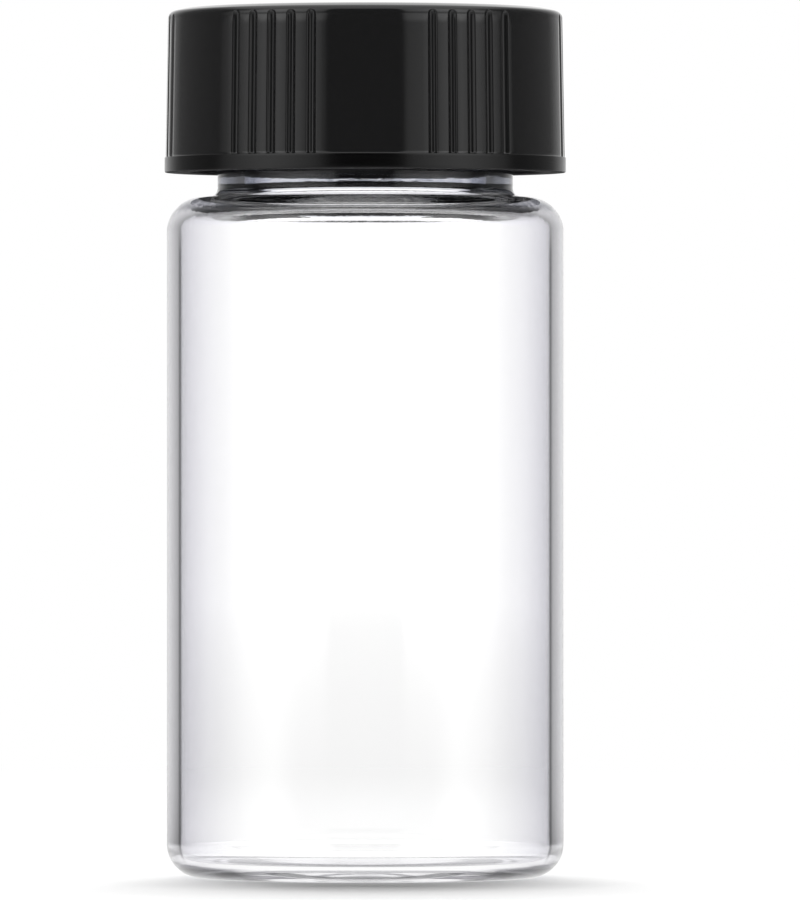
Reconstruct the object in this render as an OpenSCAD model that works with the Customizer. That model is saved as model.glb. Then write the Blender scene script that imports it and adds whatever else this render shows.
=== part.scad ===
// Screw-cap sample vial: a blown glass vial, a moulded cap with grip grooves and a soft liner disc.
// The origin is the centre of the base, on the surface that the vial stands on, with +Z up.

/* [Vial body] */
// Outside diameter of the glass body, mm
body_d = 27.4; // [26.6:0.1:34]
// Height from the surface to the top of the shoulder, mm
shoulder_h = 47; // [30:0.5:80]
// Thickness of the body wall, mm
wall_t = 0.95; // [0.7:0.05:1.5]
// Thickness of the glass at the foot ring, mm
base_t = 1.52; // [1:0.02:2]
// How far the inside of the base rises to its middle, mm
base_rise = 0.45; // [0.1:0.05:0.8]
// Outside radius of the corner between base and wall, mm
base_corner_r = 2.32; // [1.8:0.02:4]
// Radius in the corner at the bottom of the inside, mm
base_inner_r = 1.35; // [0.6:0.05:2]
// Outside radius of the shoulder, mm
shoulder_r = 2.4; // [1.8:0.1:2.8]
// How far the shoulder falls from the neck out to the body, mm
shoulder_fall = 0.25; // [0:0.05:1]
// Thickness of the glass across the shoulder, mm
shoulder_t = 0.95; // [0.8:0.05:1.4]
// Radius in the corner under the shoulder, mm
shoulder_inner_r = 1.3; // [0.8:0.1:1.8]
// Diameter of the recess under the base, mm
recess_d = 15; // [10:0.2:18]
// Diameter of the flat middle of the recess, mm
recess_flat_d = 6.8; // [2:0.2:8]
// Depth of the recess, mm
recess_h = 0.57; // [0.1:0.01:0.8]

/* [Neck and screw finish] */
// Thickness of the glass at the plain neck, mm
neck_wall_t = 1.8; // [1.6:0.1:3]
// How far the plain neck is set in from the finish, mm
neck_step = 0.5; // [0.2:0.05:0.8]
// Height of the plain neck, from the shoulder to the finish, mm
neck_h = 2.4; // [2:0.1:3]
// Height of the finish, from the neck to the lip, mm
finish_h = 7.8; // [7.4:0.1:10]
// Radius of the fillet between shoulder and neck, mm
neck_fillet_r = 0.6; // [0.4:0.1:1]
// Radius where the bore opens out under the shoulder, mm
throat_r = 1.9; // [0.8:0.1:2.2]
// Radius on the outer edge of the lip, mm
lip_r = 0.6; // [0.3:0.1:1]

/* [Thread] */
// Height that the thread rises in one turn, mm
pitch = 3.175; // [2.9:0.025:3.4]
// Number of turns of the glass thread, ends included
glass_turns = 1.2; // [1:0.05:1.3]
// How far the glass thread stands out of the finish, mm
glass_thread_h = 1.15; // [0.8:0.05:1.3]
// Width of the glass thread at its foot, mm
glass_thread_w = 2.3; // [1.8:0.05:2.4]
// Distance from the lip down to the top of the glass thread, mm
thread_top_gap = 1.2; // [0.8:0.05:1.6]
// Number of turns of the cap's thread, ends included
cap_turns = 0.95; // [0.7:0.05:1]
// Radial gap between the glass thread and the cap's wall, mm
thread_gap = 0.3; // [0.2:0.05:0.5]
// Radial gap between the cap's thread and the finish, mm
crest_gap = 0.45; // [0.3:0.05:0.65]
// Angle of the thread flanks from square to the axis, degrees
flank_angle = 33; // [28:1:36]
// Gap between the two threads' flanks, mm
flank_gap = 0.2; // [0.15:0.05:0.3]
// Distance from the cap's rim up to the bottom of its thread, mm
cap_thread_rim_gap = 0.4; // [0.2:0.1:1]

/* [Cap] */
// Height of the cap, mm
cap_h = 11.3; // [10.6:0.1:11.8]
// How far the band round the rim stands out past the glass body, mm
band_proud = 0.15; // [0:0.05:0.5]
// Thickness of the cap's wall at the band, mm
cap_wall_t = 1.7; // [1.3:0.1:2]
// Height of the plain band, mm
band_h = 1.1; // [0.6:0.1:2.5]
// Step from the band in to the grooved skirt, mm
band_step = 0.08; // [0.04:0.02:0.3]
// Draft of the skirt, degrees
skirt_draft = 1; // [0.3:0.1:2]
// How far the top falls away towards its edge, mm
top_fall = 0.3; // [0.1:0.05:0.5]
// Width of the sloping rim of the top, inside its edge, mm
top_rim_w = 0.8; // [0.6:0.1:3]
// Radius on the top edge, mm
cap_edge_r = 0.5; // [0.3:0.05:1.2]
// Radius on the bottom edge of the band, mm
band_edge_r = 0.3; // [0.1:0.05:0.5]
// Thickness of the top plate, mm
top_t = 1.6; // [1.2:0.1:3]

/* [Grip grooves] */
// Number of groups of grooves round the cap
groove_groups = 6; // [3:1:7]
// Number of grooves in a group
grooves_per_group = 5; // [1:1:6]
// Angle between two grooves of a group, degrees
groove_step = 6.2; // [4:0.1:8]
// Width of a groove at the surface, mm
groove_w = 0.6; // [0.3:0.05:0.8]
// Depth of a groove, mm
groove_h = 0.26; // [0.1:0.02:0.4]
// Angle that the whole pattern is turned by, degrees
groove_turn = 2.2; // [0:0.1:30]

/* [Liner] */
// Thickness of the liner disc, mm
liner_t = 1.2; // [0.8:0.1:2]
// Radial gap between the liner and the cap's wall, mm
liner_gap = 0.15; // [0.1:0.05:0.4]

/* [Hidden] */
$fn = 96;

// From the outside in: the cap's band stands just past the body, and its wall, the threads and
// their gaps leave the finish, the neck and the bore
body_r = body_d / 2;
inner_r = body_r - wall_t;
band_r = body_r + band_proud;
cap_wall_r = band_r - cap_wall_t;
finish_r = cap_wall_r - thread_gap - glass_thread_h;
neck_r = finish_r - neck_step;
bore_r = neck_r - neck_wall_t;
cap_thread_h = cap_wall_r - finish_r - crest_gap;

// Vial: levels
recess_r = recess_d / 2;
finish_z = shoulder_h + neck_h;
lip_z = finish_z + finish_h;

// Vial: the shoulder falls from the neck out to the wall, with its underside along it
shoulder_low_z = shoulder_h - shoulder_fall;
lip_inner_r = 0.4;
recess_edge_r = 4.2;
foot_r = 1;

// Cap: its ceiling seats on the liner, which seats on the lip
ceiling_z = lip_z + liner_t;
cap_top_z = ceiling_z + top_t;
rim_z = cap_top_z - cap_h;
ledge_z = rim_z + band_h;
skirt_r = band_r - band_step;
rim_chamfer = 0.3;

// Threads: pieces of right-handed helices in step, half a pitch apart
thread_round = 0.25;
thread_root = 0.5;
thread_fade = 36;
thread_step = 8;
glass_thread_z = lip_z - thread_top_gap - glass_thread_w / 2 - pitch * glass_turns;
flank_slope = tan(flank_angle);
cap_thread_w = pitch - 2 * flank_gap - glass_thread_w
    + 2 * (cap_wall_r - finish_r) * flank_slope;
cap_thread_z = rim_z + cap_thread_rim_gap + cap_thread_w / 2;
cap_thread_lead = (cap_thread_z - glass_thread_z + pitch / 2) * 360 / pitch;

// Grooves: each is cut by a round rod that leans in with the skirt's draft
groove_rod_r = (groove_w * groove_w / 4 + groove_h * groove_h) / (2 * groove_h);
edge_z = cap_top_z - top_fall - cap_edge_r;
groove_top_z = edge_z;

// Round stretch of an outline about the point c, from angle a to angle b
function arc(c, r, a, b, n = 10) =
    [for (i = [0:n]) let (t = a + (b - a) * i / n) c + r * [cos(t), sin(t)]];

function unit(v) = v / norm(v);

// The corner q of an outline, rounded with the radius r where it turns from p towards s
function fillet(p, q, s, r, n = 10) =
    let (back = unit(p - q))
    let (on = unit(s - q))
    let (half = acos(back * on) / 2)
    let (c = q + unit(back + on) * r / sin(half))
    let (start = q + back * r / tan(half) - c)
    let (side = back.x * on.y - back.y * on.x > 0 ? -1 : 1)
    let (a = atan2(start.y, start.x))
    arc(c, r, a, a + side * (180 - 2 * half), n);

// A list of points from its last to its first
function reversed(points) = [for (k = [len(points) - 1:-1:0]) points[k]];

// Half outline of the glass, from the middle of the underside, up the outside and down the inside
function vial_outline() =
    let (middle = [0, recess_h])
    let (recess_edge = [recess_flat_d / 2, recess_h])
    let (foot = [recess_r, 0])
    let (base_out = [body_r, 0])
    let (shoulder_out = [body_r, shoulder_low_z])
    let (neck_foot = [neck_r, shoulder_h])
    let (finish_foot = [neck_r, finish_z - neck_step])
    let (throat = [bore_r, shoulder_h - shoulder_t])
    let (shoulder_in = [inner_r, shoulder_low_z - shoulder_t])
    let (base_in = [inner_r, base_t])
    let (floor = [0, base_t + base_rise])
    concat(
        [middle],
        fillet(middle, recess_edge, foot, recess_edge_r, 4),
        fillet(recess_edge, foot, base_out, foot_r, 3),
        fillet(foot, base_out, shoulder_out, base_corner_r),
        fillet(base_out, shoulder_out, neck_foot, shoulder_r),
        fillet(shoulder_out, neck_foot, finish_foot, neck_fillet_r, 6),
        [finish_foot, [finish_r, finish_z]],
        arc([finish_r - lip_r, lip_z - lip_r], lip_r, 0, 90, 6),
        arc([bore_r + lip_inner_r, lip_z - lip_inner_r], lip_inner_r, 90, 180, 6),
        fillet([bore_r, lip_z], throat, shoulder_in, throat_r),
        fillet(throat, shoulder_in, base_in, shoulder_inner_r),
        fillet(shoulder_in, base_in, floor, base_inner_r),
        [floor]
    );

// Half outline of the cap's grooved shell, down to just under the ledge of its band
function shell_outline() =
    let (foot_z = ledge_z - band_h / 2)
    let (foot_r = skirt_r + band_h / 2 * tan(skirt_draft))
    let (rim = [foot_r - (cap_top_z - top_fall - foot_z) * tan(skirt_draft), cap_top_z - top_fall])
    let (slope = [rim.x - cap_edge_r - top_rim_w, cap_top_z])
    let (crown_r = top_rim_w * 0.7 / tan(atan(top_fall / (rim.x - slope.x)) / 2))
    concat(
        [[0, cap_top_z]],
        fillet([0, cap_top_z], slope, rim, crown_r, 6),
        fillet(slope, rim, [foot_r, foot_z], cap_edge_r),
        [[foot_r, foot_z], [cap_wall_r, foot_z], [cap_wall_r, ceiling_z], [0, ceiling_z]]
    );

// Half outline of the plain band round the rim
function band_outline() =
    concat(
        [[cap_wall_r, ledge_z], [band_r, ledge_z]],
        arc([band_r - band_edge_r, rim_z + band_edge_r], band_edge_r, 0, -90, 6),
        [[cap_wall_r + rim_chamfer, rim_z], [cap_wall_r, rim_z + rim_chamfer]]
    );

// Share of its full height that a thread has at an angle along it: it eases in and out at its ends
function thread_ease(along, full) =
    let (run = min(1, along / thread_fade, (full - along) / thread_fade))
    (1 - cos(180 * run)) / 2;

// Section of a thread as [distance along the axis, distance out of the wall], buried in the wall
function thread_section(width, height) =
    let (foot = width / 2 + thread_root * flank_slope)
    let (shoulder = width / 2 - (height - thread_round) * flank_slope)
    let (crest = width / 2 - height * flank_slope - thread_round / 2)
    [
        [-foot, -thread_root], [-shoulder, height - thread_round], [-crest, height],
        [crest, height], [shoulder, height - thread_round], [foot, -thread_root]
    ];

// A thread swept up its helix: side is 1 on the outside of a wall and -1 on the inside
module thread(wall_r, side, width, height, start_z, lead, turns) {
    full = turns * 360;
    rings = ceil(full / thread_step);
    sink = thread_root - thread_round - 0.05;
    sections = [
        for (i = [0:rings])
            thread_section(width, (height + sink) * thread_ease(full * i / rings, full) - sink)
    ];
    n = len(sections[0]);
    points = [
        for (i = [0:rings])
            let (angle = full * i / rings)
            for (p = sections[i])
                let (r = wall_r + side * p[1])
                [r * cos(lead + angle), r * sin(lead + angle), start_z + pitch * angle / 360 + p[0]]
    ];
    skin = [
        for (i = [0:rings - 1])
            for (k = [0:n - 1])
                let (a = i * n + k)
                let (b = i * n + (k + 1) % n)
                for (face = [[a, a + n, b + n], [a, b + n, b]])
                    face
    ];
    first = [for (k = [0:n - 1]) k];
    last = [for (k = [0:n - 1]) rings * n + n - 1 - k];
    faces = concat(skin, [first, last]);
    polyhedron(points = points, faces = side > 0 ? [for (face = faces) reversed(face)] : faces);
}

// One grip groove, standing at the angle 0
module groove_rod() {
    rod_x = skirt_r + groove_rod_r - groove_h;
    reach = (groove_top_z - ledge_z) / cos(skirt_draft);
    below = band_h / 4;
    translate([rod_x, 0, ledge_z])
        rotate([0, -skirt_draft, 0])
            translate([0, 0, -below]) {
                cylinder(r = groove_rod_r, h = reach + below);
                translate([0, 0, reach + below]) sphere(r = groove_rod_r);
            }
}

// All the grip grooves: groups of a few, with a plain panel between two groups and one at the front
module grooves() {
    group_step = 360 / groove_groups;
    spread = groove_step * (grooves_per_group - 1);
    first = groove_turn - 90 + group_step / 2 - spread / 2;
    for (group = [0:groove_groups - 1])
        for (i = [0:grooves_per_group - 1])
            rotate(first + group * group_step + i * groove_step) groove_rod();
}

// The glass: body, shoulder, neck and threaded finish in one piece
module vial() {
    color([0.85, 0.88, 0.92, 0.35]) {
        rotate_extrude() polygon(vial_outline());
        thread(finish_r, 1, glass_thread_w, glass_thread_h, glass_thread_z, 0, glass_turns);
    }
}

// The moulded cap: grooved shell, plain band and inner thread in one piece
module cap() {
    color([0.06, 0.06, 0.065]) {
        difference() {
            rotate_extrude() polygon(shell_outline());
            grooves();
        }
        rotate_extrude() polygon(band_outline());
        thread(cap_wall_r, -1, cap_thread_w, cap_thread_h, cap_thread_z, cap_thread_lead, cap_turns);
    }
}

// The sealing disc between the cap's ceiling and the lip
module liner() {
    color([0.93, 0.93, 0.9])
        translate([0, 0, lip_z])
            cylinder(r = cap_wall_r - liner_gap, h = liner_t);
}

vial();
cap();
liner();
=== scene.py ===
"""Screw-cap sample vial: a clear glass vial, a glossy black moulded cap and its soft liner disc."""

import math

import bpy
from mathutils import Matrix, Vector


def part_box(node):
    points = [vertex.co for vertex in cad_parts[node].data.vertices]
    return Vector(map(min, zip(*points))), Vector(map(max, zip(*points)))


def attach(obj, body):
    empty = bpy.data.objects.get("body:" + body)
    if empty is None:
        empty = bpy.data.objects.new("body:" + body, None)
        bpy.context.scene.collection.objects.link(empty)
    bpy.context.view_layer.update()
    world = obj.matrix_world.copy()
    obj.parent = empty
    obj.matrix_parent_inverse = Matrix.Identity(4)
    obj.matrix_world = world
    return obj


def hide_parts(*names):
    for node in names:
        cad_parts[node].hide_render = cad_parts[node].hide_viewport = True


bl_info = {
    "name": "Screw-cap sample vial",
    "version": (1, 0, 0),
    "blender": (4, 5, 0),
    "location": "3D View > Sidebar > Vial",
    "description": "Builds a glass sample vial, its grooved screw cap and liner round the packed frame",
    "category": "Object",
}

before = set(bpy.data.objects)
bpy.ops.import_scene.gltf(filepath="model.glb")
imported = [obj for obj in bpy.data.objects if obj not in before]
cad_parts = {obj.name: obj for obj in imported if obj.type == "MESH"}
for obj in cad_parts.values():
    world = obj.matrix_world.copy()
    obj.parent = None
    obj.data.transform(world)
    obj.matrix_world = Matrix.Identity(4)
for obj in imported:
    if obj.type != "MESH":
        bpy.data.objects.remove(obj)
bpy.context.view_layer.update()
MM = 0.001

GLASS_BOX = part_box("vial")
CAP_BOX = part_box("cap")
LINER_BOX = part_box("liner")


# ---------------------------------------------------------------- sizes and colours


def length(name, default_mm, description):
    """A length property, whose default is given in millimetres."""
    return bpy.props.FloatProperty(
        name=name, description=description, default=default_mm * MM, min=0.0,
        subtype="DISTANCE", unit="LENGTH", precision=5,
    )


def angle(name, default_deg, description):
    """An angle property, whose default is given in degrees."""
    return bpy.props.FloatProperty(
        name=name, description=description, default=math.radians(default_deg), subtype="ANGLE",
    )


def share(name, default, description, top=1.0):
    """A plain number from 0 to top."""
    return bpy.props.FloatProperty(
        name=name, description=description, default=default, min=0.0, max=top, subtype="FACTOR",
    )


def colour(name, default, description):
    """A linear colour."""
    return bpy.props.FloatVectorProperty(
        name=name, description=description, default=default, size=3, min=0.0, max=1.0,
        subtype="COLOR",
    )


class VialGlassSizes(bpy.types.PropertyGroup):
    """Sizes and tint of the glass."""

    body_r: length("Body radius", GLASS_BOX[1].x / MM, "Outside radius of the straight body")
    lip_z: length("Lip height", GLASS_BOX[1].z / MM, "Height of the lip above the surface")
    shoulder_z: length("Shoulder height", 47.0, "Height of the shoulder where it meets the neck")
    wall: length("Wall", 0.94, "Thickness of the body wall")
    base: length("Base thickness", 1.05, "Thickness of the glass at the foot ring")
    base_rise: length("Base rise", 0.65, "How far the inside of the base rises to its middle")
    base_corner_r: length("Base corner", 2.32, "Outside radius between base and wall")
    base_inner_r: length("Base inner corner", 0.95, "Radius in the corner at the bottom of the inside")
    shoulder_r: length("Shoulder corner", 2.4, "Outside radius of the shoulder")
    shoulder_t: length("Shoulder thickness", 0.92, "Thickness of the shoulder where it meets the neck")
    shoulder_wall_t: length("Shoulder thickness at the wall", 0.97, "Thickness of the shoulder at the wall")
    shoulder_fall: length("Shoulder fall", 0.17, "How far the shoulder falls from the neck to the body")
    shoulder_inner_r: length("Shoulder inner corner", 1.3, "Radius in the corner under the shoulder")
    recess_r: length("Recess radius", 7.5, "Radius of the recess under the base")
    recess_flat_r: length("Recess flat radius", 3.4, "Radius of the flat middle of the recess")
    recess_h: length("Recess depth", 0.57, "Depth of the recess at its middle")
    recess_edge_r: length("Recess round", 4.2, "Radius between the recess's middle and its slope")
    foot_r: length("Foot round", 1.0, "Radius between the recess and the foot ring")
    neck_r: length("Neck radius", 10.2, "Outside radius of the plain neck")
    neck_h: length("Neck height", 2.4, "Height of the plain neck")
    neck_fillet: length("Neck fillet", 0.6, "Radius between shoulder and neck")
    finish_r: length("Finish radius", 10.7, "Outside radius of the finish between its threads")
    bore_r: length("Bore radius", 8.4, "Radius of the bore")
    bore_taper: length("Bore taper", 0.14, "How much the bore's radius is less at the lip")
    throat_r: length("Throat", 1.9, "Radius where the bore opens out under the shoulder")
    lip_r: length("Lip edge", 0.6, "Radius on the outer edge of the lip")
    pitch: length("Thread pitch", 3.175, "Height that the thread rises in one turn")
    turns: bpy.props.FloatProperty(
        name="Thread turns", description="Turns of the thread, ends included", default=1.2, min=0.2,
    )
    thread_h: length("Thread height", 1.15, "How far the thread stands out of the finish")
    thread_w: length("Thread width", 2.3, "Width of the thread at its foot")
    thread_top: length("Thread top gap", 1.2, "Distance from the lip down to the thread's end")
    flank: angle("Thread flank", 33.0, "Angle of the thread's flanks from square to the axis")
    # Painted shade: the edge tint and the tints below darken the glass's colour where it is seen on edge,
    # and along lines at the wall, neck, shoulder and foot
    tint: colour("Edge tint", (0.865, 0.858, 0.922), "Tint of the glass where it is seen on edge")
    line_shade: colour("Line tint", (0.22, 0.22, 0.24), "Tint of the line where the inside turns away")
    shoulder_shade: colour("Shoulder tint", (0.34, 0.35, 0.37), "Tint of light gone far in the shoulder")
    neck_shade: colour("Neck tint", (0.42, 0.44, 0.52), "Tint of the shoulder where it is seen on edge")
    barrel_shade: colour("Neck wall tint", (0.17, 0.18, 0.225), "Tint of the neck's wall seen on edge")
    foot_shade: colour("Foot tint", (0.36, 0.355, 0.38), "Darkest tint of light gone far in the foot")
    corner_shade: colour("Corner tint", (0.06, 0.06, 0.068), "Tint of the foot's corner turned away")


class VialCapSizes(bpy.types.PropertyGroup):
    """Sizes and finish of the cap."""

    band_r: length("Band radius", CAP_BOX[1].x / MM, "Radius of the plain band round the rim")
    rim_z: length("Rim height", CAP_BOX[0].z / MM - 0.05, "Height of the rim above the surface")
    top_z: length("Top height", CAP_BOX[1].z / MM, "Height of the cap's top above the surface")
    ceiling_z: length("Ceiling height", LINER_BOX[1].z / MM, "Height of the face the liner is against")
    band_h: length("Band height", 1.05, "Height of the plain band")
    band_step: length("Band step", 0.08, "Step from the band in to the grooved skirt")
    draft: angle("Draft", 1.0, "Draft of the skirt")
    top_fall: length("Top fall", 0.3, "How far the top falls away towards its edge")
    top_rim_w: length("Top rim", 0.8, "Width of the sloping rim of the top, inside its edge")
    edge_r: length("Top edge", 0.5, "Radius on the top edge")
    band_edge_r: length("Rim edge", 0.1, "Radius on the bottom edge of the band")
    wall_r: length("Inside radius", 12.15, "Radius of the inside wall between its threads")
    groups: bpy.props.IntProperty(
        name="Groove groups", description="Groups of grip grooves round the cap", default=6, min=1,
    )
    per_group: bpy.props.IntProperty(
        name="Grooves in a group", description="Grip grooves in each group", default=5, min=1,
    )
    step: angle("Groove spacing", 6.2, "Angle between two grooves of a group")
    turn: angle("Pattern turn", 2.2, "Angle that the whole groove pattern is turned by")
    groove_w: length("Groove width", 0.6, "Width of a groove at the surface")
    groove_h: length("Groove depth", 0.26, "Depth of a groove")
    land_round: length("Land round", 0.055, "How far the land between two grooves is rounded")
    thread_h: length("Thread height", 1.0, "How far the thread stands in from the wall")
    turns: bpy.props.FloatProperty(
        name="Thread turns", description="Turns of the thread, ends included", default=0.95, min=0.2,
    )
    black: colour("Black", (0.0150, 0.0150, 0.0154), "Colour of the moulded plastic")
    # Painted shade: this darker black is laid on the band round the rim and on the cap's inside
    band_shade: colour("Band black", (0.0012, 0.0012, 0.0014), "Colour of the polished band")


class VialLinerSizes(bpy.types.PropertyGroup):
    """Sizes and colour of the liner."""

    radius: length("Radius", LINER_BOX[1].x / MM, "Radius of the disc")
    bottom_z: length("Bottom height", LINER_BOX[0].z / MM, "Height of the face that seals the lip")
    top_z: length("Top height", LINER_BOX[1].z / MM, "Height of the face against the cap")
    edge_r: length("Edge", 0.12, "Radius on the cut edge")
    foam: colour("Foam", (0.86, 0.86, 0.83), "Colour of the foam")


class VialStageSettings(bpy.types.PropertyGroup):
    """Camera, lamps, floor and the levels that glass shows."""

    camera_x: length("Camera to the right", 2.40, "Place of the camera to the right of the axis")
    camera_far: length("Camera distance", 860.0, "Distance from the axis to the camera")
    camera_z: length("Camera height", 29.5, "Height of the camera above the surface")
    view_height: length("View height", 62.14, "Height that the picture takes in at the axis")
    floor_tone: share("Floor", 0.92, "Tone of the floor")
    top_share: share("Top lamp", 0.45, "Level that the lamp overhead gives")
    back_share: share("Back lamp", 0.47, "Level that the lamp above and behind gives")
    front_share: share("Front lamp", 0.29, "Level that the lamp in front gives")
    lift: share("Floor lift", 0.035, "Level that the floor gives of itself where it is looked at")
    through: share("Seen through glass", 1.17, "Level of the backdrop that the glass shows", 2.0)
    through_low: share("Seen low through glass", 0.975, "Level of the floor that the glass shows", 2.0)
    under: share("Under the glass", 0.95, "Level of the floor that the base shows", 2.0)


# ---------------------------------------------------------------- node trees as formulas


class Field:
    """A number worked out by a node tree, with the usual arithmetic."""

    def __init__(self, tree, socket):
        self.tree, self.socket = tree, socket

    def math(self, operation, *others):
        node = self.tree.nodes.new("ShaderNodeMath")
        node.operation = operation
        for value, entry in zip((self,) + others, node.inputs):
            plug(self.tree, entry, value)
        return Field(self.tree, node.outputs[0])

    def __add__(self, other):
        return self.math("ADD", other)

    __radd__ = __add__

    def __sub__(self, other):
        return self.math("SUBTRACT", other)

    def __rsub__(self, other):
        return number(self.tree, other).math("SUBTRACT", self)

    def __mul__(self, other):
        return self.math("MULTIPLY", other)

    __rmul__ = __mul__

    def __truediv__(self, other):
        return self.math("DIVIDE", other)

    def __rtruediv__(self, other):
        return number(self.tree, other).math("DIVIDE", self)

    def __neg__(self):
        return self.math("MULTIPLY", -1.0)

    def low(self, other):
        return self.math("MINIMUM", other)

    def high(self, other):
        return self.math("MAXIMUM", other)

    def soft_low(self, other, reach):
        return self.math("SMOOTH_MIN", other, reach)

    def soft_high(self, other, reach):
        return self.math("SMOOTH_MAX", other, reach)

    def below(self, other):
        return self.math("LESS_THAN", other)

    def spread(self, low, high, to_low=0.0, to_high=1.0, smooth=False):
        """Maps low to high onto to_low to to_high and holds it there outside."""
        node = self.tree.nodes.new("ShaderNodeMapRange")
        if smooth:
            node.interpolation_type = "SMOOTHSTEP"
        for entry, value in zip(node.inputs, (self, low, high, to_low, to_high)):
            plug(self.tree, entry, value)
        return Field(self.tree, node.outputs[0])


def plug(tree, entry, value):
    """Links a field or a socket to an input, or sets the input to a plain value."""
    if isinstance(value, Field):
        tree.links.new(value.socket, entry)
    elif isinstance(value, bpy.types.NodeSocket):
        tree.links.new(value, entry)
    else:
        entry.default_value = value


def number(tree, value):
    """A plain number as a field."""
    node = tree.nodes.new("ShaderNodeValue")
    node.outputs[0].default_value = value
    return Field(tree, node.outputs[0])


def add_node(tree, kind, inputs=(), **settings):
    """A node with its settings, and with inputs given as (name or index, value) pairs."""
    node = tree.nodes.new(kind)
    for name, value in settings.items():
        setattr(node, name, value)
    for name, value in dict(inputs).items():
        plug(tree, node.inputs[name], value)
    return node


def radius_of(x, y):
    """The distance from the axis."""
    return (x * x + y * y).math("SQRT")


def coordinates(tree, vector):
    """The three coordinates of a vector socket as fields."""
    node = add_node(tree, "ShaderNodeSeparateXYZ", {0: vector})
    return [Field(tree, out) for out in node.outputs]


# ---------------------------------------------------------------- outlines


class Outline:
    """Half outline of a turned form: points at a radius and a height, each with a relief mark."""

    support = 0.14 * MM

    def __init__(self):
        self.points, self.marks = [], []

    def point(self, r, z, mark=0.0):
        self.points.append((max(r, 0.0), z))
        self.marks.append(mark)

    def to(self, r, z, rows=0, mark=0.0):
        """A straight run to a point, with a row close to each end and more rows between."""
        r0, z0 = self.points[-1]
        run = math.hypot(r - r0, z - z0)
        if run > 4 * self.support:
            near = self.support / run
            stops = [near] + [near + (1 - 2 * near) * i / (rows + 1) for i in range(1, rows + 1)]
            for t in stops + [1 - near]:
                self.point(r0 + (r - r0) * t, z0 + (z - z0) * t, mark)
        self.point(r, z, mark if rows else 0.0)

    def arc(self, r, z, radius, start, end, steps=12, mark=0.0):
        """A round stretch about a centre, joined to what comes before by a straight run."""
        a = [math.radians(start + (end - start) * i / steps) for i in range(steps + 1)]
        first = (r + radius * math.cos(a[0]), z + radius * math.sin(a[0]))
        if self.points:
            r0, z0 = self.points[-1]
            if math.hypot(first[0] - r0, first[1] - z0) > 1e-3 * MM:
                self.to(*first)
        else:
            self.point(*first)
        for t in a[1:]:
            self.point(r + radius * math.cos(t), z + radius * math.sin(t), mark)

    def fillet(self, corner, onward, radius, steps=12, mark=0.0):
        """A straight run towards a corner, rounded where it turns towards the point onward."""
        q = Vector(corner)
        back, on = (Vector(self.points[-1]) - q).normalized(), (Vector(onward) - q).normalized()
        half = back.angle(on) / 2
        centre = q + (back + on).normalized() * (radius / math.sin(half))
        start = q + back * (radius / math.tan(half)) - centre
        turn = math.copysign(math.pi - 2 * half, on.x * back.y - on.y * back.x)
        first = math.atan2(start.y, start.x)
        self.arc(*centre, radius, math.degrees(first), math.degrees(first + turn), steps, mark)

    def as_object(self, name):
        """The outline as a line of points in the plane y = 0, with its relief marks."""
        mesh = bpy.data.meshes.new(name)
        n = len(self.points)
        mesh.from_pydata([(r, 0.0, z) for r, z in self.points], [(i, i + 1) for i in range(n - 1)], [])
        mark = mesh.attributes.new("relief", "FLOAT", "POINT")
        mark.data.foreach_set("value", self.marks)
        obj = bpy.data.objects.new(name, mesh)
        bpy.context.scene.collection.objects.link(obj)
        return obj


# ---------------------------------------------------------------- turned forms


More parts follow.
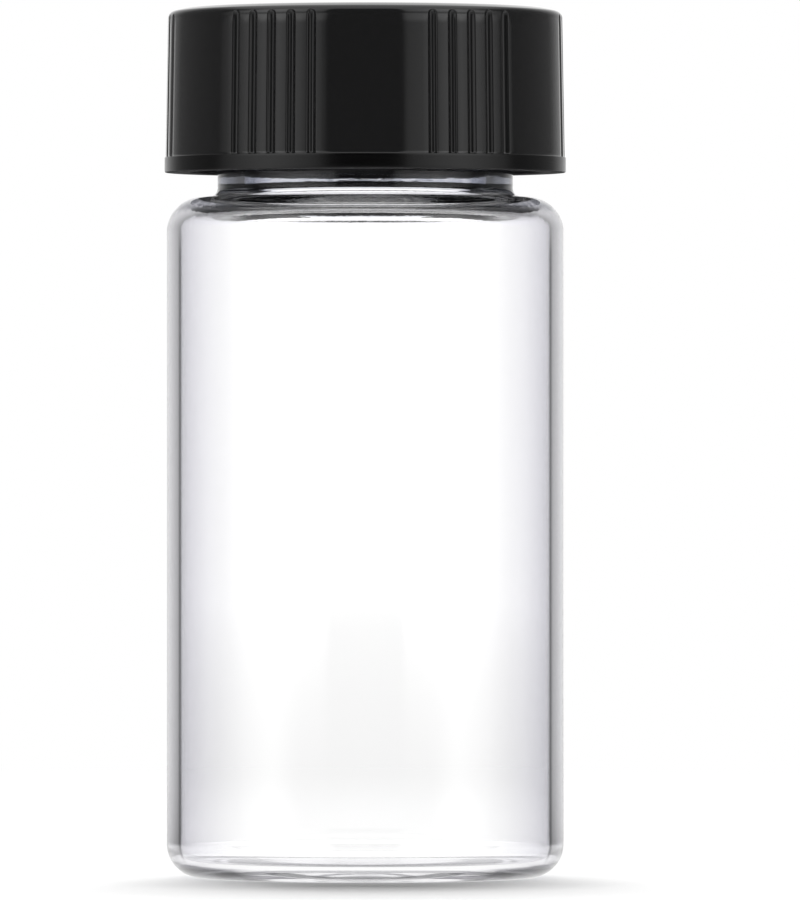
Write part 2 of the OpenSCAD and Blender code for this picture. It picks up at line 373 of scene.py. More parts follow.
class TurnedTree:
    """A geometry node tree that turns an outline round the axis, with a relief on its marked rows."""

    def __init__(self, name):
        self.tree = bpy.data.node_groups.new(name, "GeometryNodeTree")
        self.tree.is_modifier = True
        face = self.tree.interface
        face.new_socket("Geometry", in_out="INPUT", socket_type="NodeSocketGeometry")
        face.new_socket("Geometry", in_out="OUTPUT", socket_type="NodeSocketGeometry")
        self.given = {}
        self.entry = self.tree.nodes.new("NodeGroupInput")
        self.outline = self.ask("Outline", "NodeSocketObject")
        self.material = self.ask("Material", "NodeSocketMaterial")

    def ask(self, name, kind="NodeSocketFloat"):
        """A named input of the tree."""
        item = self.tree.interface.new_socket(name, in_out="INPUT", socket_type=kind)
        self.given[name] = item.identifier
        socket = self.entry.outputs[name]
        return Field(self.tree, socket) if kind in ("NodeSocketFloat", "NodeSocketInt") else socket

    def ask_all(self, *names):
        """Several named inputs that are plain numbers."""
        return [self.ask(name) for name in names]

    def build(self, columns, angle_of, relief_of):
        """Lays out the grid: angle_of(column) gives angles and relief_of(angle, r, z) the relief."""
        tree = self.tree
        source = add_node(tree, "GeometryNodeObjectInfo", {"Object": self.outline})
        line = source.outputs["Geometry"]
        count = add_node(tree, "GeometryNodeAttributeDomainSize", {"Geometry": line})
        rows = Field(tree, count.outputs["Point Count"])
        grid = add_node(tree, "GeometryNodeMeshGrid", {
            "Size X": 1.0, "Size Y": 1.0, "Vertices X": columns + 1.0, "Vertices Y": rows,
        })
        index = Field(tree, tree.nodes.new("GeometryNodeInputIndex").outputs[0])
        column = (index / rows + 1e-4).math("FLOOR")
        row = index - column * rows
        place = add_node(tree, "GeometryNodeInputPosition").outputs[0]
        at_row = add_node(tree, "GeometryNodeSampleIndex", data_type="FLOAT_VECTOR")
        plug(tree, at_row.inputs["Geometry"], line)
        plug(tree, at_row.inputs["Value"], place)
        plug(tree, at_row.inputs["Index"], row)
        radius, _, height = coordinates(tree, at_row.outputs[0])
        named = add_node(tree, "GeometryNodeInputNamedAttribute", {"Name": "relief"}, data_type="FLOAT")
        mark_row = add_node(tree, "GeometryNodeSampleIndex", data_type="FLOAT")
        plug(tree, mark_row.inputs["Geometry"], line)
        plug(tree, mark_row.inputs["Value"], named.outputs[0])
        plug(tree, mark_row.inputs["Index"], row)
        turn = angle_of(column)
        radius = radius + relief_of(turn, radius, height) * Field(tree, mark_row.outputs[0])
        spot = add_node(tree, "ShaderNodeCombineXYZ", {
            0: radius * turn.math("COSINE"), 1: radius * turn.math("SINE"), 2: height,
        })
        moved = add_node(tree, "GeometryNodeSetPosition", {
            "Geometry": grid.outputs["Mesh"], "Position": spot.outputs[0],
        })
        joined = add_node(tree, "GeometryNodeMergeByDistance", {
            "Geometry": moved.outputs[0], "Distance": 2e-7,
        })
        smooth = add_node(tree, "GeometryNodeSetShadeSmooth", {"Geometry": joined.outputs[0]})
        plain = add_node(tree, "GeometryNodeRealizeInstances", {"Geometry": smooth.outputs[0]})
        dressed = add_node(tree, "GeometryNodeSetMaterial", {
            "Geometry": plain.outputs[0], "Material": self.material,
        })
        out = tree.nodes.new("NodeGroupOutput")
        tree.links.new(dressed.outputs[0], out.inputs[0])

    def make(self, name, outline, material, values):
        """Runs the tree on an outline and gives the result as a plain mesh object."""
        line = outline.as_object(name + "_outline")
        obj = bpy.data.objects.new(name, bpy.data.meshes.new(name))
        bpy.context.scene.collection.objects.link(obj)
        modifier = obj.modifiers.new("Turned", "NODES")
        modifier.node_group = self.tree
        modifier[self.given["Outline"]] = line
        modifier[self.given["Material"]] = material
        for key, value in values.items():
            modifier[self.given[key]] = value
        bpy.context.view_layer.update()
        made = obj.evaluated_get(bpy.context.evaluated_depsgraph_get())
        mesh = bpy.data.meshes.new_from_object(made)
        obj.modifiers.clear()
        old, obj.data = obj.data, mesh
        mesh.name = name
        bpy.data.meshes.remove(old)
        spare = line.data
        bpy.data.objects.remove(line)
        bpy.data.meshes.remove(spare)
        if not mesh.polygons:
            raise RuntimeError(f"{name} came out empty")
        outward(mesh)
        return obj


def outward(mesh):
    """Turns a closed mesh's faces round if they point inwards."""
    volume = 0.0
    mesh.calc_loop_triangles()
    for tri in mesh.loop_triangles:
        a, b, c = (mesh.vertices[i].co for i in tri.vertices)
        volume += a.dot(b.cross(c))
    if volume < 0:
        mesh.flip_normals()
    mesh.update()


def thread_relief(turn, height, start_z, lead, pitch, turns, width, tall, flank):
    """How far a helical thread stands out at an angle and a height."""
    full = turns * math.tau
    fade = math.radians(36)
    crest_round = 0.5 * MM
    best = None
    for wrap in (0, 1):
        along = (turn - lead) / math.tau
        along = (along - along.math("FLOOR") + wrap) * math.tau
        ease = along.low(full - along).spread(0.0, fade, 0.0, 1.0, smooth=True)
        middle = start_z + pitch * along / math.tau
        side = width * 0.5 - (height - middle).math("ABSOLUTE")
        ridge = (side / flank.math("TANGENT")).soft_low(tall, crest_round) * ease
        ridge = ridge.high(0.0)
        best = ridge if best is None else best.high(ridge)
    return best


def glass_outline(s):
    """Half outline of the glass, from the middle of the underside out, up and back down inside."""
    inner_r = s.body_r - s.wall
    low_z = s.shoulder_z - s.shoulder_fall
    finish_z = s.shoulder_z + s.neck_h
    neck_top = finish_z - (s.finish_r - s.neck_r)
    under_in = (inner_r, low_z - s.shoulder_wall_t)
    lip_inner_r = 0.4 * MM
    line = Outline()
    line.point(0, s.recess_h)
    line.fillet((s.recess_flat_r, s.recess_h), (s.recess_r, 0), s.recess_edge_r, 8)
    line.fillet((s.recess_r, 0), (s.body_r, 0), s.foot_r, 8)
    line.fillet((s.body_r, 0), (s.body_r, low_z), s.base_corner_r, 28)
    line.fillet((s.body_r, low_z), (s.neck_r, s.shoulder_z), s.shoulder_r, 28)
    line.fillet((s.neck_r, s.shoulder_z), (s.neck_r, neck_top), s.neck_fillet, 14)
    line.to(s.neck_r, neck_top)
    line.point(s.finish_r, finish_z, 1.0)
    line.to(s.finish_r, s.lip_z - s.lip_r, rows=76, mark=1.0)
    line.arc(s.finish_r - s.lip_r, s.lip_z - s.lip_r, s.lip_r, 0, 90, 10)
    line.arc(s.bore_r - s.bore_taper + lip_inner_r, s.lip_z - lip_inner_r, lip_inner_r, 90, 180, 8)
    line.fillet((s.bore_r, s.shoulder_z - s.shoulder_t), under_in, s.throat_r, 24)
    line.fillet(under_in, (inner_r, s.base), s.shoulder_inner_r, 20)
    line.fillet((inner_r, s.base), (0, s.base + s.base_rise), s.base_inner_r, 20)
    line.to(0, s.base + s.base_rise, rows=3)
    return line


def cap_outline(s):
    """Half outline of the cap, from the middle of its top out, down and back up inside."""
    skirt_r = s.band_r - s.band_step
    ledge_z = s.rim_z + s.band_h
    lean = math.tan(s.draft)
    rim = (skirt_r - (s.top_z - s.top_fall - ledge_z) * lean, s.top_z - s.top_fall)
    slope = (rim[0] - s.edge_r - s.top_rim_w, s.top_z)
    crown_r = s.top_rim_w * 0.7 / math.tan(math.atan(s.top_fall / (rim[0] - slope[0])) / 2)
    fine, chamfer, ceiling_r = 0.05 * MM, 0.06 * MM, 0.2 * MM
    thread_end = 6.6 * MM
    groove_end = 0.7 * MM
    line = Outline()
    line.point(0, s.top_z)
    line.fillet(slope, rim, crown_r, 14)
    line.fillet(rim, (skirt_r, ledge_z), s.edge_r, 18, mark=1.0)
    line.to(skirt_r - groove_end * lean, ledge_z + groove_end, rows=14, mark=1.0)
    line.to(skirt_r, ledge_z + 0.02 * MM, rows=4, mark=1.0)
    line.arc(s.band_r - fine, ledge_z - fine, fine, 90, 0, 4)
    line.arc(s.band_r - s.band_edge_r, s.rim_z + s.band_edge_r, s.band_edge_r, 0, -90, 10)
    line.to(s.wall_r + chamfer, s.rim_z)
    line.to(s.wall_r, s.rim_z + chamfer)
    line.to(s.wall_r, s.rim_z + thread_end, rows=36, mark=-1.0)
    line.arc(s.wall_r - ceiling_r, s.ceiling_z - ceiling_r, ceiling_r, 0, 90, 4)
    line.to(0, s.ceiling_z)
    return line


def liner_outline(s):
    """Half outline of the liner disc, from the middle of its underside out and up."""
    line = Outline()
    line.point(0, s.bottom_z)
    line.to(s.radius * 0.5, s.bottom_z, rows=2)
    line.arc(s.radius - s.edge_r, s.bottom_z + s.edge_r, s.edge_r, -90, 0, 6)
    line.arc(s.radius - s.edge_r, s.top_z - s.edge_r, s.edge_r, 0, 90, 6)
    line.to(0, s.top_z, rows=2)
    return line


# ---------------------------------------------------------------- materials


def new_material(name):
    """A material with its Principled shader and output, and the tree they are in."""
    mat = bpy.data.materials.new(name)
    mat.use_nodes = True
    tree = mat.node_tree
    tree.nodes.clear()
    shader = tree.nodes.new("ShaderNodeBsdfPrincipled")
    out = tree.nodes.new("ShaderNodeOutputMaterial")
    tree.links.new(shader.outputs[0], out.inputs["Surface"])
    return mat, tree, shader, out


def surface_group():
    """Marks that more than one finish has, as values: drawn streaks, fine grain and smudges."""
    name = "Surface marks"
    if name in bpy.data.node_groups:
        return bpy.data.node_groups[name]
    tree = bpy.data.node_groups.new(name, "ShaderNodeTree")
    face = tree.interface
    face.new_socket("Vector", in_out="INPUT", socket_type="NodeSocketVector")
    for entry, value in (("Streak scale", 900.0), ("Grain scale", 6000.0), ("Smudge scale", 150.0)):
        face.new_socket(entry, in_out="INPUT", socket_type="NodeSocketFloat").default_value = value
    for out in ("Streaks", "Grain", "Smudges"):
        face.new_socket(out, in_out="OUTPUT", socket_type="NodeSocketFloat")
    entry, out = tree.nodes.new("NodeGroupInput"), tree.nodes.new("NodeGroupOutput")
    long_way = add_node(tree, "ShaderNodeVectorMath", {0: entry.outputs["Vector"], 1: (1.0, 1.0, 0.03)},
                        operation="MULTIPLY")
    for i, (vector, scale, detail) in enumerate((
        (long_way.outputs[0], "Streak scale", 3.0),
        (entry.outputs["Vector"], "Grain scale", 2.0),
        (entry.outputs["Vector"], "Smudge scale", 4.0),
    )):
        noise = add_node(tree, "ShaderNodeTexNoise", {
            "Vector": vector, "Scale": entry.outputs[scale], "Detail": detail, "Roughness": 0.55,
        })
        tree.links.new(noise.outputs["Fac"], out.inputs[i])
    return tree


def surface_marks(tree, **scales):
    """The marks of the group on object coordinates, as fields."""
    where = tree.nodes.new("ShaderNodeTexCoord").outputs["Object"]
    node = add_node(tree, "ShaderNodeGroup", node_tree=surface_group())
    plug(tree, node.inputs["Vector"], where)
    for key, value in scales.items():
        node.inputs[key.replace("_", " ").capitalize()].default_value = value
    return {out.name: Field(tree, out) for out in node.outputs}, coordinates(tree, where)


def bump(tree, shader, height, distance, strength=1.0):
    """Feeds a height into the shader's normal."""
    node = add_node(tree, "ShaderNodeBump", {
        "Height": height, "Distance": distance, "Strength": strength,
    })
    tree.links.new(node.outputs[0], shader.inputs["Normal"])


def mixed(tree, share, first, second):
    """The colour part way between two, each a plain colour or a node's colour output."""
    node = add_node(tree, "ShaderNodeMix", {0: share}, data_type="RGBA")
    for entry, tone in ((6, first), (7, second)):
        plug(tree, node.inputs[entry], tone if isinstance(tone, bpy.types.NodeSocket) else (*tone, 1.0))
    return node.outputs[2]


def between(value, start, full, last, end):
    """1 from full to last, and 0 before start and after end."""
    return value.spread(start, full) * value.spread(last, end, 1.0, 0.0)


def glass_masks(s, across, from_glass, radius, z):
    """Where shade is painted into the glass's colour: by place, and by how far it is turned from the eye.
    """
    seen_first = 1 - from_glass
    inner_r = s.body_r - s.wall
    bore = radius.below(s.body_r - s.wall * 0.5) * (1 - radius.below(s.bore_r + 2.0 * MM))
    outside = 1 - radius.below(s.body_r - s.wall * 0.6)

    # the facing value of the wall as if the foot's corner didn't lean
    lean = z.spread(0.0, s.base_corner_r, 1.0, 0.0)
    turned = 1 - (1 - across) / (1 - lean * lean).math("SQRT").high(0.25)

    # the painted dark line down the wall
    line = outside * between(turned, 0.626, 0.634, 0.650, 0.668)
    line = line * z.spread(1.0 * MM, 1.7 * MM)
    line = line + across.spread(0.84, 0.93) * bore * z.spread(2.2 * MM, 3.0 * MM)
    line = line * seen_first * z.spread(43.0 * MM, 45.0 * MM, 1.0, 0.0)

    # painted shade at the foot: its outer corner, its inner corner and the edge of the recess
    corner = turned.spread(0.22, 0.32) * z.spread(0.7 * MM, 0.95 * MM, 1.0, 0.0) * seen_first
    corner = corner.high(turned.spread(0.6, 0.72) * z.spread(1.9 * MM, 2.3 * MM, 1.0, 0.0) * 0.4)
    corner = corner * (1 - radius.below(s.body_r - s.base_corner_r - 0.3 * MM))
    bend = between(radius, inner_r - 0.65 * MM, inner_r - 0.55 * MM, inner_r - 0.3 * MM, inner_r - 0.2 * MM)
    bend = bend * z.below(s.base + 0.6 * MM) * (1 - z.below(s.base - 0.1 * MM))
    ring = between(radius, s.recess_r - 0.9 * MM, s.recess_r - 0.7 * MM,
                   s.recess_r - 0.1 * MM, s.recess_r + 0.1 * MM)
    ring = ring * z.below(0.6 * MM) * across.spread(0.4, 0.6)

    # painted shade on the neck and the shoulder
    base_z = s.shoulder_z
    high = z.spread(base_z - 2.4 * MM, base_z - 1.2 * MM)
    neck = z.spread(base_z - 0.5 * MM, base_z) * across.spread(0.36, 0.5) * (1 - bore)
    root = between(z, base_z + 0.62 * MM, base_z + 0.8 * MM, base_z + 1.8 * MM, base_z + 2.2 * MM)
    barrel = between(z, base_z + 0.5 * MM, base_z + 0.8 * MM, base_z + 2.3 * MM, base_z + 2.7 * MM)
    barrel = barrel * across.spread(0.42, 0.6)
    return {
        "edge": turned.spread(0.12, 0.75, 0.0, 1.0, smooth=True), "line": line,
        "corner": corner.high(bend * 0.85), "ring": ring,
        "high": high, "neck": neck, "root": root, "barrel": barrel,
    }


def glass_material(s):
    """Clear fire-polished glass, with painted shade in its colour: grey-violet where it is seen on edge,
    and darker lines, corners and rings by place.
    """
    mat, tree, shader, out = new_material("clear_glass")
    shader.inputs["Transmission Weight"].default_value = 1.0
    shader.inputs["IOR"].default_value = 1.48
    shader.inputs["Roughness"].default_value = 0.0
    marks, (x, y, z) = surface_marks(tree, streak_scale=420.0, grain_scale=2500.0, smudge_scale=90.0)
    across = Field(tree, add_node(tree, "ShaderNodeLayerWeight", {"Blend": 0.5}).outputs["Facing"])
    from_glass = Field(tree, tree.nodes.new("ShaderNodeNewGeometry").outputs["Backfacing"])
    radius = radius_of(x, y)
    mask = glass_masks(s, across, from_glass, radius, z)
    high = mask["high"]
    streaks = add_node(tree, "ShaderNodeTexNoise", {
        "Vector": add_node(tree, "ShaderNodeCombineXYZ", {0: x * 0.1, 1: y * 0.1, 2: z}).outputs[0],
        "Scale": 7000.0, "Detail": 2.0, "Roughness": 0.5,
    })
    drawn = Field(tree, streaks.outputs["Fac"]).spread(0.38, 0.62)
    # Painted shade: the glass's colour darkens by how far it is turned away, and along the masked lines
    tone = mixed(tree, mask["edge"], (1.0, 1.0, 1.0), s.tint)
    for where, tint in (
        # Painted shade: each tint darkens the glass where its mask lies
        (mask["line"], s.line_shade),
        (mask["neck"].high(mask["root"] * (1 - drawn * 0.6) * 0.75), s.neck_shade),
        (mask["barrel"], s.barrel_shade),
        (mask["corner"], s.corner_shade),
    ):
        tone = mixed(tree, where, tone, tint)
    tree.links.new(tone, shader.inputs["Base Color"])
    rough = marks["Grain"] * z.spread(s.shoulder_z - 0.1 * MM, s.shoulder_z + 0.3 * MM, 1.4, 0.0)
    relief = marks["Streaks"] + marks["Smudges"] * 0.6 + high * (drawn * 0.05 + rough)
    bump(tree, shader, relief, 0.004 * MM)

    # Lamps shine through. Light that has been mirrored too often to be followed leaves through a clear
    # shader whose colour is painted shade: darker arcs in the foot, a darker shoulder and a dark ring at
    # the edge of the recess.
    path = tree.nodes.new("ShaderNodeLightPath")
    lamp_side = Field(tree, path.outputs["Is Shadow Ray"]).high(Field(tree, path.outputs["Is Diffuse Ray"]))
    deep = Field(tree, path.outputs["Glossy Depth"]).math("GREATER_THAN", 3.5)
    deep = deep * z.below(4.0 * MM).high(high)
    wavy = add_node(tree, "ShaderNodeTexNoise", {
        "W": radius + z * 8.0, "Scale": 420.0, "Detail": 2.0, "Roughness": 0.6,
    }, noise_dimensions="1D")
    arcs = Field(tree, wavy.outputs["Fac"]).spread(0.45, 0.55)
    # Painted shade: darker arcs in the foot and a darker shoulder
    leaving = mixed(tree, arcs, s.foot_shade, (0.98, 0.975, 0.99))
    leaving = mixed(tree, high * (1 - marks["Grain"].spread(0.52, 0.62)), leaving, s.shoulder_shade)
    leaving = mixed(tree, deep * (1 - lamp_side), (0.97, 0.97, 0.975), leaving)
    # Painted shade: a dark ring where the recess meets the foot
    leaving = mixed(tree, mask["ring"] * (1 - lamp_side), leaving, s.corner_shade)
    clear = add_node(tree, "ShaderNodeBsdfTransparent", {0: leaving})
    mix = add_node(tree, "ShaderNodeMixShader", {
        0: lamp_side.high(deep).high(mask["ring"] * 0.7), 1: shader.outputs[0], 2: clear.outputs[0],
    })
    tree.links.new(mix.outputs[0], out.inputs["Surface"])
    return mat


def cap_material(s):
    """Glossy moulded black plastic; the band round the rim and the cap's inside get a darker black, which
    is painted shade.
    """
    mat, tree, shader, _ = new_material("black_plastic")
    marks, (x, y, z) = surface_marks(tree, streak_scale=1500.0, grain_scale=5200.0, smudge_scale=160.0)
    inside = radius_of(x, y).below(s.wall_r + 0.35 * MM) * z.below(s.ceiling_z + 0.2 * MM)
    inside = inside.high(z.below(s.rim_z + 0.03 * MM))
    # The band round the rim: its darker colour below is painted shade, and it is given a roughness of 0.2
    polished = z.spread(s.rim_z + s.band_h - 0.02 * MM, s.rim_z + s.band_h + 0.02 * MM, 1.0, 0.0)
    band = polished.high(inside)
    # Painted shade: the band and the cap's inside take a darker black than the moulded plastic
    tree.links.new(mixed(tree, band, s.black, s.band_shade), shader.inputs["Base Color"])
    gloss = marks["Smudges"].spread(0.3, 0.75, 0.045, 0.075)
    gloss = gloss * (1 - polished) + polished * 0.2
    plug(tree, shader.inputs["Roughness"], gloss * (1 - inside) + inside * 0.85)
    shader.inputs["IOR"].default_value = 1.5

    # the lands between the grooves are a little round, and flat again near the top edge
    sector_angle = math.tau / s.groups
    first = s.turn - math.pi / 2 + sector_angle * 0.5 - s.step * s.per_group * 0.5
    sector = (y.math("ARCTAN2", x) - first) / sector_angle
    cell = (sector - sector.math("FLOOR")) * (sector_angle / s.step)
    over = cell + 0.5
    land = ((over - over.math("FLOOR")) * math.pi).math("SINE")
    grooved = cell.below(s.per_group) * (1 - band)
    edge_z = s.top_z - s.top_fall - s.edge_r
    near_edge = z.spread(edge_z - 0.7 * MM, edge_z)
    land = (land * grooved + (1 - grooved)) * (1 - near_edge * near_edge)
    depth = 0.0012 * MM
    bump(tree, shader, marks["Streaks"] + marks["Grain"] * 0.3 + land * s.land_round / depth, depth)
    return mat


def foam_material(tint):
    """Closed-cell foam with a smooth skin."""
    mat, tree, shader, _ = new_material("liner_foam")
    marks, _ = surface_marks(tree, streak_scale=2500.0, grain_scale=7000.0, smudge_scale=260.0)
    tone = mixed(tree, marks["Grain"].spread(0.3, 0.7), [c * 0.9 for c in tint], tint)
    tree.links.new(tone, shader.inputs["Base Color"])
    plug(tree, shader.inputs["Roughness"], marks["Smudges"].spread(0.3, 0.7, 0.5, 0.7))
    bump(tree, shader, marks["Grain"], 0.02 * MM)
    return mat


# ---------------------------------------------------------------- operators


class VIAL_OT_glass(bpy.types.Operator):
    """Turns the glass vial with its threaded finish"""

    bl_idname = "vial.glass"
    bl_label = "Glass vial"

    def execute(self, context):
        s = context.scene.vial_glass
        form = TurnedTree("Threaded glass")
        columns = form.ask("Columns", "NodeSocketInt")
        start, pitch, turns, width, tall, flank = form.ask_all(
            "Thread start", "Pitch", "Turns", "Thread width", "Thread height", "Flank angle")
        form.build(
            columns,
            lambda column: column * math.tau / columns,
            lambda turn, r, z: thread_relief(turn, z, start, 0.0, pitch, turns, width, tall, flank),
        )
        obj = form.make("glass_vial", glass_outline(s), glass_material(s), {
            "Columns": 288,
            "Thread start": s.lip_z - s.thread_top - s.thread_w / 2 - s.pitch * s.turns,
            "Pitch": s.pitch,
            "Turns": s.turns,
            "Thread width": s.thread_w,
            "Thread height": s.thread_h,
            "Flank angle": s.flank,
        })
        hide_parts("vial")
        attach(obj, "vial")
        return {"FINISHED"}


class VIAL_OT_cap(bpy.types.Operator):
    """Turns the moulded cap with its grip grooves and inner thread"""

    bl_idname = "vial.cap"
    bl_label = "Screw cap"

    # columns of the grid over one groove, over half a land and over the plain panel
    across = 14
    land = 3
    panel = 24

    def execute(self, context):
        s, glass = context.scene.vial_cap, context.scene.vial_glass
        form = TurnedTree("Grooved cap")
        groups = form.ask("Groove groups", "NodeSocketInt")
        per_group = form.ask("Grooves in a group", "NodeSocketInt")
        step, turned, wide, deep, skirt, end_z, bottom_z = form.ask_all(
            "Groove spacing", "Pattern turn", "Groove width", "Groove depth", "Skirt radius",
            "Groove end height", "Groove foot height")
        start, lead, pitch, turns, width, tall, flank = form.ask_all(
            "Thread start", "Thread lead", "Pitch", "Turns", "Thread width", "Thread height", "Flank angle")

        per_cell = self.across + 2 * self.land
        per_sector = per_group * per_cell + self.panel
        columns = groups * per_sector
        sector_angle = math.tau / groups
        first = turned - math.pi / 2 + sector_angle * 0.5 - step * per_group * 0.5
        margin = 0.006
        half_cut = wide * 0.5 / skirt + margin

        def angle_of(column):
            sector = (column / per_sector + 1e-4).math("FLOOR")
            local = column - sector * per_sector
            grooved = per_group * per_cell
            inside = local.low(grooved)
            cell = (inside / per_cell + 1e-4).math("FLOOR")
            place = inside - cell * per_cell
            land = step * 0.5 - half_cut
            within = (
                place.spread(0.0, self.land, 0.0, land)
                + place.spread(self.land, self.land + self.across, 0.0, half_cut * 2)
                + place.spread(self.land + self.across, per_cell, 0.0, land)
            )
            rest = (local - grooved).high(0.0) / self.panel
            return first + sector * sector_angle + cell * step + within + rest * (
                sector_angle - step * per_group)

        def relief_of(turn, radius, height):
            outside = height.spread(bottom_z - 0.01 * MM, bottom_z, 0.0, 1.0)
            rod = (wide * wide * 0.25 + deep * deep) / (deep * 2)
            sector = (turn - first) / sector_angle
            local = (sector - sector.math("FLOOR")) * sector_angle
            cell = (local / step).math("FLOOR")
            off = (local - (cell + 0.5) * step) * skirt
            past = (height - end_z).high(0.0)
            reach = (rod * rod - off * off - past * past).high(0.0).math("SQRT")
            cut = (reach - (rod - deep)).soft_high(0.0, 0.05 * MM) - 0.0125 * MM
            groove = cut.high(0.0) * cell.below(per_group - 0.5)
            ridge = thread_relief(turn, height, start, lead, pitch, turns, width, tall, flank)
            outer = radius.math("GREATER_THAN", skirt - 0.9 * MM)
            return ridge * (1 - outer) - groove * outer * outside

        form.build(columns, angle_of, relief_of)
        glass_start = glass.lip_z - glass.thread_top - glass.thread_w / 2 - glass.pitch * glass.turns
        gap, play = s.wall_r - glass.finish_r, 0.2 * MM
        thread_w = glass.pitch - 2 * play - glass.thread_w + 2 * gap * math.tan(glass.flank)
        thread_z = s.rim_z + 0.4 * MM + thread_w / 2
        obj = form.make("screw_cap", cap_outline(s), cap_material(s), {
            "Groove groups": s.groups,
            "Grooves in a group": s.per_group,
            "Groove spacing": s.step,
            "Pattern turn": s.turn,
            "Groove width": s.groove_w,
            "Groove depth": s.groove_h,
            "Skirt radius": s.band_r - s.band_step,
            "Groove end height": s.top_z - s.top_fall - s.edge_r,
            "Groove foot height": s.rim_z + s.band_h,
            "Thread start": thread_z,
            "Thread lead": (thread_z - glass_start + glass.pitch / 2) * math.tau / glass.pitch,
            "Pitch": glass.pitch,
            "Turns": s.turns,
            "Thread width": thread_w,
            "Thread height": s.thread_h,
            "Flank angle": glass.flank,
        })
        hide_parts("cap")
        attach(obj, "cap")
        return {"FINISHED"}


class VIAL_OT_liner(bpy.types.Operator):
    """Turns the soft liner disc"""

    bl_idname = "vial.liner"
    bl_label = "Liner disc"

    def execute(self, context):
        s = context.scene.vial_liner
        form = TurnedTree("Liner disc")
        columns = form.ask("Columns", "NodeSocketInt")
        form.build(columns, lambda column: column * math.tau / columns, lambda turn, r, z: r * 0.0)
        obj = form.make("liner_disc", liner_outline(s), foam_material(s.foam), {"Columns": 144})
        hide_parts("liner")
        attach(obj, "liner")
        return {"FINISHED"}


class VIAL_OT_stage(bpy.types.Operator):
    """Sets up the floor, the studio light and the camera"""

    bl_idname = "vial.stage"
    bl_label = "Stage"

    # the studio's side panels: degrees round from the front, and the level shown there
    panels = (
        (0, 0.02), (21.5, 0.02), (25, 0.45), (42, 0.8), (57, 1.0), (72, 0.75), (88, 0.4), (94, 0.12),
        (136, 0.2), (150, 0.5), (166, 0.8), (173, 1.0),
    )

    def execute(self, context):
        s = context.scene.vial_stage
        context.scene.view_settings.view_transform = "Standard"
        self.floor(s)
        self.studio(s)
        self.lamps(s)
        self.camera(s)
        return {"FINISHED"}

    def sides(self, tree, vector):
        """The level that the studio shows a reflection in a direction round the axis."""
        name = "Studio sides"
        group = bpy.data.node_groups.get(name)
        if group is None:
            group = bpy.data.node_groups.new(name, "ShaderNodeTree")
            group.interface.new_socket("Vector", in_out="INPUT", socket_type="NodeSocketVector")
            group.interface.new_socket("Level", in_out="OUTPUT", socket_type="NodeSocketFloat")
            entry, out = group.nodes.new("NodeGroupInput"), group.nodes.new("NodeGroupOutput")
            x, y, _ = coordinates(group, entry.outputs["Vector"])
            around = x.math("ARCTAN2", -y).math("ABSOLUTE") / math.pi
            ramp = group.nodes.new("ShaderNodeValToRGB")
            while len(ramp.color_ramp.elements) < len(self.panels):
                ramp.color_ramp.elements.new(0.5)
            for element, (degrees, level) in zip(ramp.color_ramp.elements, self.panels):
                element.position = degrees / 180
                element.color = (level, level, level, 1.0)
            plug(group, ramp.inputs[0], around)
            grey = add_node(group, "ShaderNodeRGBToBW", {0: ramp.outputs[0]})
            group.links.new(grey.outputs[0], out.inputs["Level"])
        node = add_node(tree, "ShaderNodeGroup", node_tree=group)
        plug(tree, node.inputs["Vector"], vector)
        return Field(tree, node.outputs["Level"])

    def glow(self, tree, level):
        """A white emission of a level."""
        node = add_node(tree, "ShaderNodeEmission", {"Color": (1.0, 1.0, 1.0, 1.0)})
        plug(tree, node.inputs["Strength"], level)
        return node

    def add(self, tree, shader, level):
        """A shader with a white emission added."""
        glow = self.glow(tree, level)
        return add_node(tree, "ShaderNodeAddShader", {0: shader.outputs[0], 1: glow.outputs[0]})

    def mix(self, tree, share, first, second):
        """A mix of two shaders."""
        return add_node(tree, "ShaderNodeMixShader", {0: share, 1: first.outputs[0], 2: second.outputs[0]})

    def floor(self, s):
        """The pale floor, which keeps the shadow near the vial and fades into the backdrop further out."""
        mesh = bpy.data.meshes.new("floor")
        size = 20.0
        mesh.from_pydata([(-size, -size, 0), (size, -size, 0), (size, size, 0), (-size, size, 0)], [],
                         [(0, 1, 2, 3)])
        obj = bpy.data.objects.new("floor", mesh)
        obj.location.z = -0.03 * MM
        bpy.context.scene.collection.objects.link(obj)
        mat = bpy.data.materials.new("pale_floor")
        mat.use_nodes = True
        tree = mat.node_tree
        tree.nodes.clear()
        diffuse = tree.nodes.new("ShaderNodeBsdfDiffuse")
        diffuse.inputs[0].default_value = (s.floor_tone,) * 3 + (1.0,)
        path = tree.nodes.new("ShaderNodeLightPath")
        mirrored = Field(tree, path.outputs["Glossy Depth"]).math("GREATER_THAN", 0.5)
        through = Field(tree, path.outputs["Is Transmission Ray"]) * (1 - mirrored)
        camera = Field(tree, path.outputs["Is Camera Ray"])
        where = tree.nodes.new("ShaderNodeTexCoord").outputs["Object"]
        x, y, _ = coordinates(tree, where)
        out_from = radius_of(x, y)
        open_floor = out_from.spread(0.12, 0.3, 0.0, 1.0, smooth=True)
        beside = out_from.spread(12.9 * MM, 14.2 * MM, 0.0, 1.0, smooth=True)
        level = out_from.spread(0.15, 1.5, s.through_low, s.through)
        lit = self.add(tree, diffuse, camera * s.lift + through * (s.lift + 0.02))
        seen = self.mix(tree, open_floor * camera.high(through), lit,
                        self.glow(tree, camera + through * level))
        seen = self.mix(tree, through * (1 - beside), seen, self.glow(tree, s.under))
        front = (-y / out_from).spread(0.5, 0.8, 0.0, 1.0, smooth=True)
        even = front * out_from.spread(0.15, 1.2, 1.0, 0.0)
        sides = self.sides(tree, where) * (1 - even) + even * 0.45
        near = out_from.spread(0.04, 0.09, 1.0, 0.0, smooth=True)
        shown = self.glow(tree, sides * (1 - near) + near)
        mix = self.mix(tree, mirrored, seen, shown)
        out = tree.nodes.new("ShaderNodeOutputMaterial")
        tree.links.new(mix.outputs[0], out.inputs["Surface"])
        mesh.materials.append(mat)

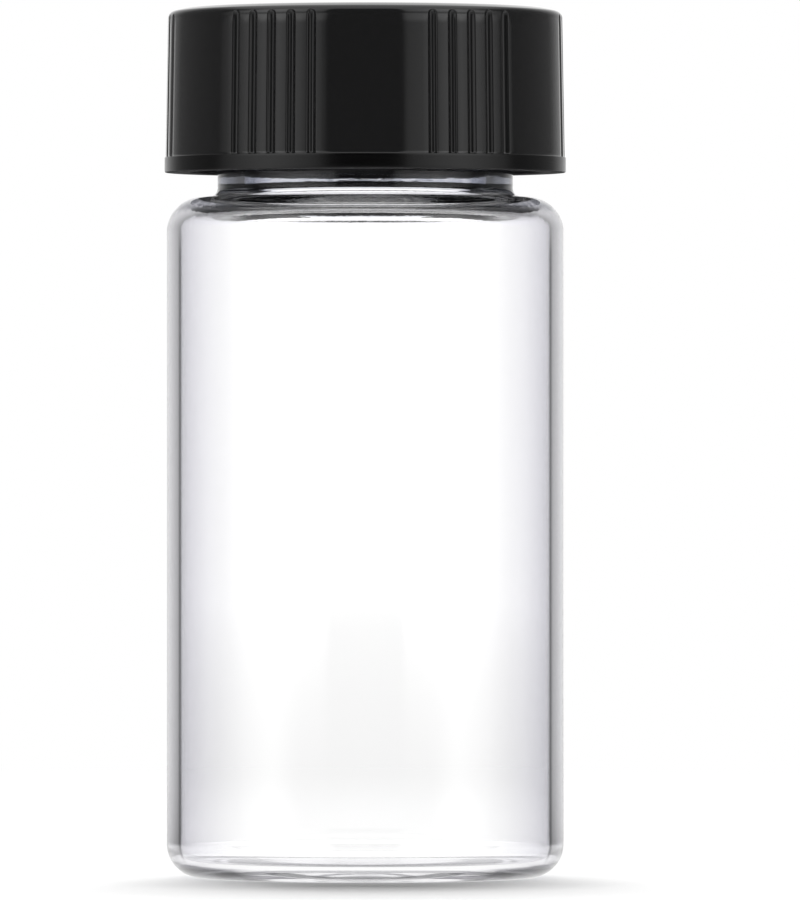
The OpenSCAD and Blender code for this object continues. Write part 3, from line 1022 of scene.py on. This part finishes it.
    def studio(self, s):
        """The world: a white backdrop, and in reflections the side panels and a lit ceiling."""
        world = bpy.data.worlds.new("studio")
        bpy.context.scene.world = world
        world.cycles_visibility.diffuse = False
        world.use_nodes = True
        tree = world.node_tree
        tree.nodes.clear()
        where = tree.nodes.new("ShaderNodeTexCoord").outputs["Generated"]
        _, y, z = coordinates(tree, where)
        side = self.sides(tree, where)
        up = z.spread(0.62, 0.86, 0.0, 1.0, smooth=True)
        side = side * (1 + z.spread(0.07, 0.25, 0.0, 1.0, smooth=True) * (-y).spread(0.0, 0.3))
        sky = side * (1 - up) + up * 1.1
        path = tree.nodes.new("ShaderNodeLightPath")
        through = Field(tree, path.outputs["Is Transmission Ray"])
        through = through * Field(tree, path.outputs["Glossy Depth"]).below(0.5)
        camera = Field(tree, path.outputs["Is Camera Ray"])
        level = sky * (1 - camera.high(through)) + camera + through * s.through
        back = tree.nodes.new("ShaderNodeBackground")
        back.inputs["Color"].default_value = (1.0, 1.0, 1.0, 1.0)
        plug(tree, back.inputs["Strength"], level)
        out = tree.nodes.new("ShaderNodeOutputWorld")
        tree.links.new(back.outputs[0], out.inputs["Surface"])

    def lamps(self, s):
        """Three broad suns, which light the matt surfaces and cast the shadow."""
        for name, share, tilt, turned, angle in (
            ("top_light", s.top_share, 9.0, 4.6, 13.7),
            ("back_light", s.back_share, 22.3, 1.0, 20.6),
            ("front_light", s.front_share, -34.3, 0.0, 71.8),
        ):
            data = bpy.data.lights.new(name, "SUN")
            data.energy = share * math.pi
            data.angle = math.radians(angle)
            obj = bpy.data.objects.new(name, data)
            bpy.context.scene.collection.objects.link(obj)
            obj.rotation_euler = (math.radians(-tilt), 0, math.radians(turned))
            obj.visible_transmission = False
            obj.visible_glossy = False

    def camera(self, s):
        """A long lens from the front."""
        data = bpy.data.cameras.new("camera")
        data.sensor_width = 36.0
        data.lens = data.sensor_width * s.camera_far / s.view_height
        data.clip_start, data.clip_end = 0.01, 100.0
        obj = bpy.data.objects.new("camera", data)
        bpy.context.scene.collection.objects.link(obj)
        obj.location = (s.camera_x, -s.camera_far, s.camera_z)
        obj.rotation_euler = (math.pi / 2, 0, 0)
        bpy.context.scene.camera = obj


class VIAL_PT_panel(bpy.types.Panel):
    """Lists the pieces of the vial"""

    bl_idname = "VIAL_PT_panel"
    bl_label = "Sample vial"
    bl_space_type = "VIEW_3D"
    bl_region_type = "UI"
    bl_category = "Vial"

    def draw(self, context):
        for operator, settings in (
            ("vial.glass", context.scene.vial_glass),
            ("vial.cap", context.scene.vial_cap),
            ("vial.liner", context.scene.vial_liner),
            ("vial.stage", context.scene.vial_stage),
        ):
            box = self.layout.box()
            box.operator(operator)
            for key in settings.__annotations__:
                box.prop(settings, key)


SETTINGS = {
    "vial_glass": VialGlassSizes,
    "vial_cap": VialCapSizes,
    "vial_liner": VialLinerSizes,
    "vial_stage": VialStageSettings,
}
OPERATORS = (VIAL_OT_glass, VIAL_OT_cap, VIAL_OT_liner, VIAL_OT_stage)


def register():
    for cls in (*SETTINGS.values(), *OPERATORS, VIAL_PT_panel):
        bpy.utils.register_class(cls)
    for name, cls in SETTINGS.items():
        setattr(bpy.types.Scene, name, bpy.props.PointerProperty(type=cls))


def unregister():
    for name in SETTINGS:
        delattr(bpy.types.Scene, name)
    for cls in (VIAL_PT_panel, *reversed(OPERATORS), *reversed(list(SETTINGS.values()))):
        bpy.utils.unregister_class(cls)


def main():
    """Builds every piece and the stage."""
    register()
    bpy.ops.vial.glass()
    bpy.ops.vial.cap()
    bpy.ops.vial.liner()
    bpy.ops.vial.stage()


if __name__ == "__main__":
    main()
